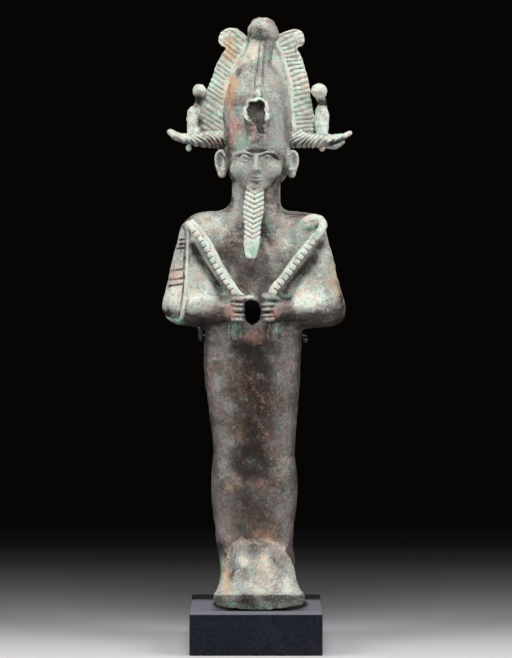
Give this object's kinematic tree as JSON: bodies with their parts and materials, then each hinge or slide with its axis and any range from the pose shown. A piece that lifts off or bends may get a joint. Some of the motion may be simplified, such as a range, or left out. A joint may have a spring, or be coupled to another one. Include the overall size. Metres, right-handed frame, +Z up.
{
  "type": "osiris figure",
  "caption": "Cast bronze statuette of a wrapped standing figure with crook and flail under a tall plumed crown, held by a wire cradle on a black block.",
  "frame": {"origin": "middle of the block's underside, on the surface that the part stands on", "axes": "+Z up, the figure faces -Y, +X to the right of a viewer who faces the figure"},
  "size_m": [0.0858, 0.059, 0.2833],
  "materials": {
    "patinated_bronze": "cast bronze under a dark brown patina, with pale green corrosion on the crown, crook, flail and beard",
    "cradle_wire": "satin dark grey",
    "black_block": "satin black paint"
  },
  "bodies": {
    "root": {"osiris_figure": "patinated_bronze", "cradle": "cradle_wire", "stand_block": "black_block"}
  },
  "joints": []
}
